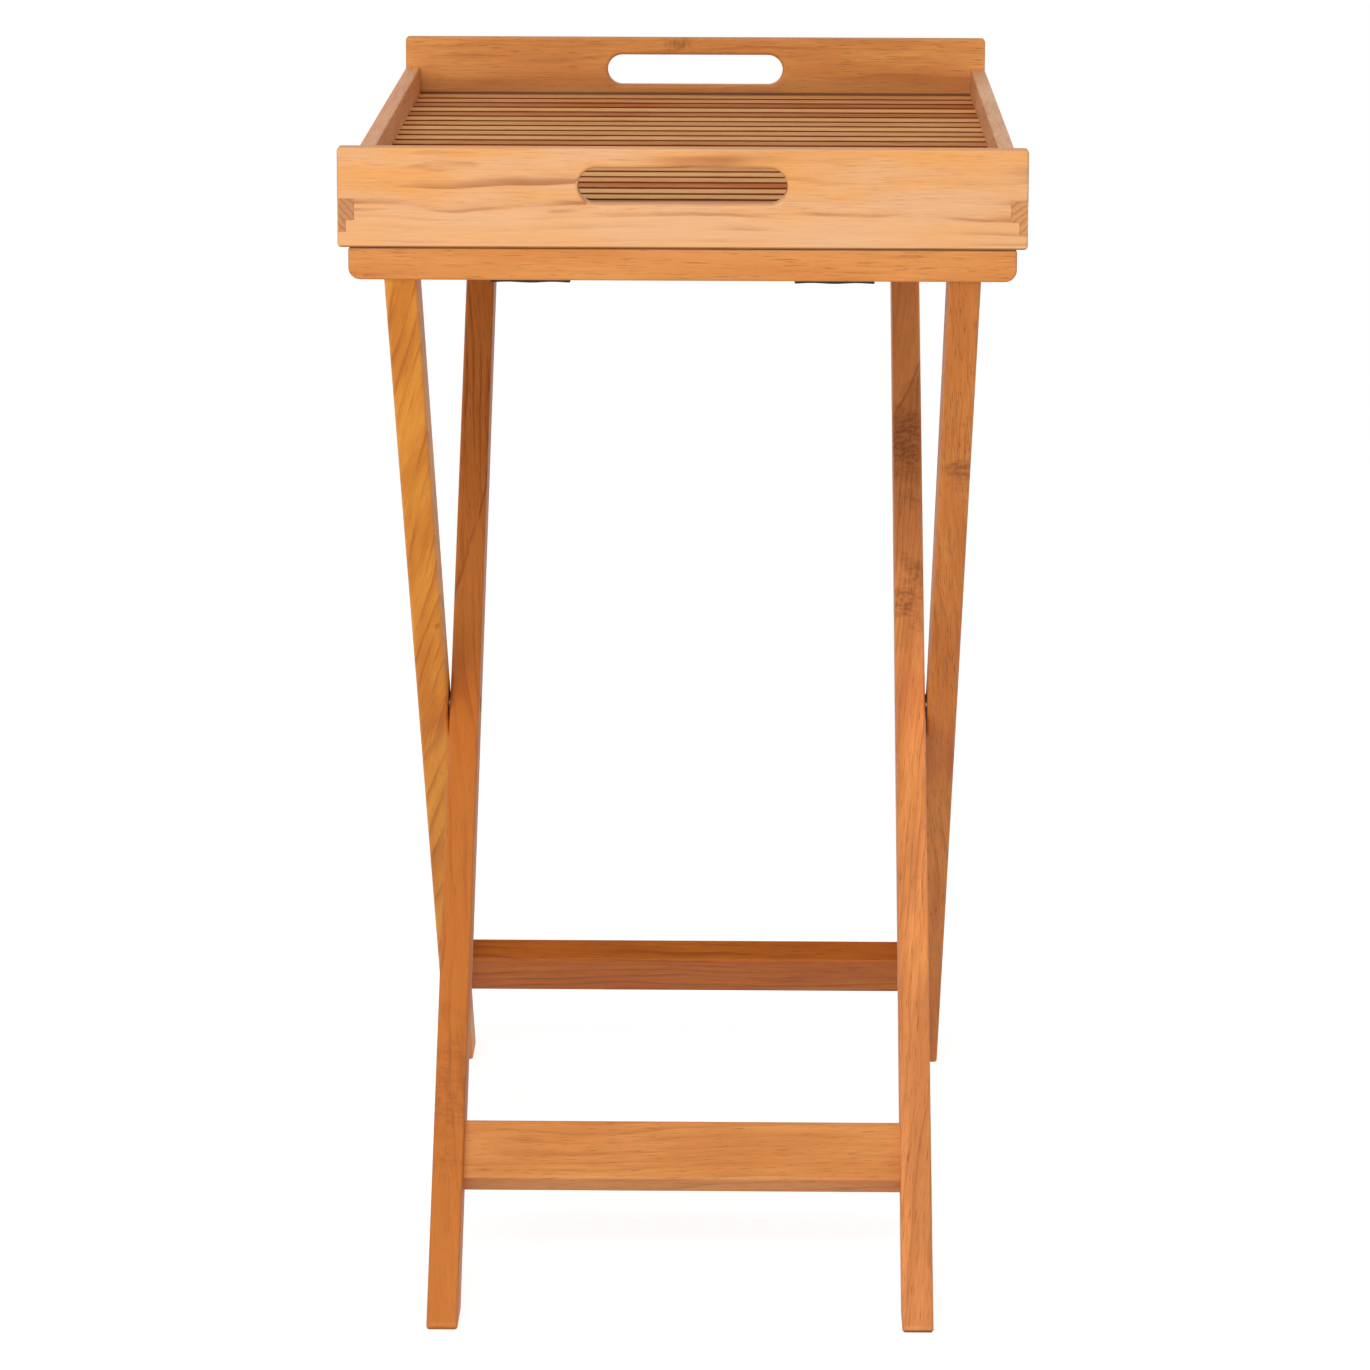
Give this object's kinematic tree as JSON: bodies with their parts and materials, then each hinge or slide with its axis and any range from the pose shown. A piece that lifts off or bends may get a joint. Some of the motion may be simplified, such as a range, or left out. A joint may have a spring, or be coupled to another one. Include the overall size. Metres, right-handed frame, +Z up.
{
  "type": "folding tray table",
  "caption": "Butler-style tray table: a slatted wooden tray with cut-out handles that lifts off a folding scissor-leg stand held open by webbing straps.",
  "frame": {"origin": "on the floor under the middle of the table, at the bottom centre of its bounding box", "axes": "+Z up, +Y from the front handle to the back handle along the tray's long side, +X to the right seen from the front, along the pivot axis"},
  "size_m": [0.43, 0.742, 0.772],
  "materials": {
    "tray_rail_teak": "oiled",
    "slat_teak": "oiled",
    "stand_teak": "oiled",
    "webbing": "woven",
    "steel_fastener": "dark plated"
  },
  "bodies": {
    "pivot": {"pivot_bolts": "steel_fastener", "pivot_nuts": "steel_fastener", "pivot_washers": "steel_fastener"},
    "outer_frame": {"outer_leg_left": "stand_teak", "outer_leg_right": "stand_teak", "rear_stretcher": "stand_teak", "front_top_rail": "stand_teak", "strap_screws_front": "steel_fastener"},
    "inner_frame": {"inner_leg_left": "stand_teak", "inner_leg_right": "stand_teak", "front_stretcher": "stand_teak", "rear_top_rail": "stand_teak", "strap_screws_rear": "steel_fastener"},
    "straps": {"strap_left": "webbing", "strap_right": "webbing"},
    "tray": {"tray_front_rail": "tray_rail_teak", "tray_rear_rail": "tray_rail_teak", "tray_left_rail": "tray_rail_teak", "tray_right_rail": "tray_rail_teak", "tray_slat_01": "slat_teak", "tray_slat_02": "slat_teak", "tray_slat_03": "slat_teak", "tray_slat_04": "slat_teak", "tray_slat_05": "slat_teak", "tray_slat_06": "slat_teak", "tray_slat_07": "slat_teak", "tray_slat_08": "slat_teak", "tray_slat_09": "slat_teak", "tray_slat_10": "slat_teak", "tray_slat_11": "slat_teak", "tray_slat_12": "slat_teak", "tray_slat_13": "slat_teak", "tray_slat_14": "slat_teak", "tray_slat_15": "slat_teak", "tray_slat_16": "slat_teak", "tray_slat_17": "slat_teak", "tray_slat_18": "slat_teak", "tray_slat_19": "slat_teak", "tray_slat_20": "slat_teak", "tray_slat_21": "slat_teak", "tray_slat_22": "slat_teak", "tray_slat_23": "slat_teak"}
  },
  "joints": [
    {"name": "outer_fold", "type": "hinge", "parent": "pivot", "child": "outer_frame", "pos_m": [0, 0, 0.3415], "axis": [-1, 0, 0], "range_deg": [0, 40], "deforming": ["strap_left", "strap_right"]},
    {"name": "inner_fold", "type": "hinge", "parent": "pivot", "child": "inner_frame", "pos_m": [0, 0, 0.3415], "axis": [1, 0, 0], "range_deg": [0, 40]},
    {"name": "strap_rise", "type": "slide", "parent": "pivot", "child": "straps", "axis": [0, 0, 1], "range_m": [0, 0.26]},
    {"name": "tray_lift", "type": "slide", "parent": "straps", "child": "tray", "axis": [0, 0, 1], "range_m": [0, 0.25]}
  ],
  "couplings": [
    {"joint": "inner_fold", "follows": "outer_fold", "ratio": 1},
    {"joint": "strap_rise", "follows": "outer_fold", "m_per_rad": 0.372}
  ]
}
